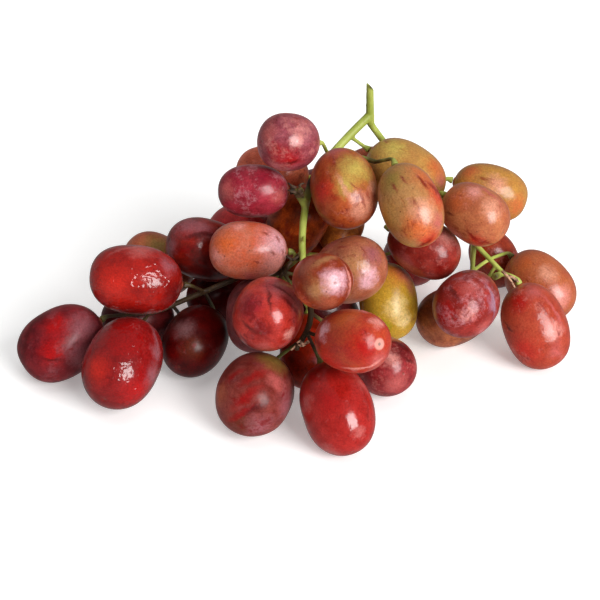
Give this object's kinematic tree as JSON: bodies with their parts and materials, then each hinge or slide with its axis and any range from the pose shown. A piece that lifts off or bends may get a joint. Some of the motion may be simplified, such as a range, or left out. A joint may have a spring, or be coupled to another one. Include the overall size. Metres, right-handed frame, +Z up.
{
  "type": "bunch of grapes",
  "caption": "Bunch of oval red table grapes lying on its side, each grape held by a thin pedicel on one branched green stalk with a cut end.",
  "frame": {"origin": "on the table the bunch lies on, under the middle of its outer box", "axes": "+X along the bunch's length, from its left grapes to its right grapes as pictured; +Y away from the viewer; +Z up"},
  "size_m": [0.1938, 0.1264, 0.0846],
  "materials": {
    "stalk_green": "matte fresh green stalk",
    "grape_crimson": "waxy translucent skin",
    "grape_red": "waxy translucent skin",
    "grape_dark": "waxy translucent skin",
    "grape_blush": "waxy translucent skin",
    "grape_amber": "waxy translucent skin"
  },
  "bodies": {
    "root": {"stalk": "stalk_green", "grape_left_end": "grape_dark", "grape_left_front": "grape_red", "grape_left_top": "grape_red", "grape_left_back": "grape_blush", "grape_left_under": "grape_dark", "grape_left_inner": "grape_dark", "grape_left_low": "grape_dark", "grape_middle_blush": "grape_blush", "grape_middle_round": "grape_red", "grape_middle_behind": "grape_crimson", "grape_middle_shade": "grape_dark", "grape_front_left": "grape_dark", "grape_front_right": "grape_red", "grape_front_hidden": "grape_dark", "grape_front_scar": "grape_red", "grape_front_corner": "grape_crimson", "grape_pair_left": "grape_blush", "grape_pair_right": "grape_blush", "grape_pair_green": "grape_amber", "grape_deep_middle": "grape_dark", "grape_deep_right": "grape_dark", "grape_deep_low": "grape_dark", "grape_top_round": "grape_crimson", "grape_top_left": "grape_crimson", "grape_top_behind": "grape_dark", "grape_top_blush": "grape_blush", "grape_top_green": "grape_amber", "grape_top_amber": "grape_amber", "grape_right_crimson": "grape_crimson", "grape_right_blush": "grape_blush", "grape_right_amber": "grape_amber", "grape_right_behind": "grape_crimson", "grape_right_far": "grape_blush", "grape_right_end": "grape_red", "grape_right_round": "grape_crimson", "grape_right_low": "grape_dark", "grape_back_top": "grape_dark", "grape_back_right": "grape_red", "grape_back_inner": "grape_dark", "grape_back_left": "grape_red", "grape_back_high": "grape_blush"}
  },
  "joints": []
}
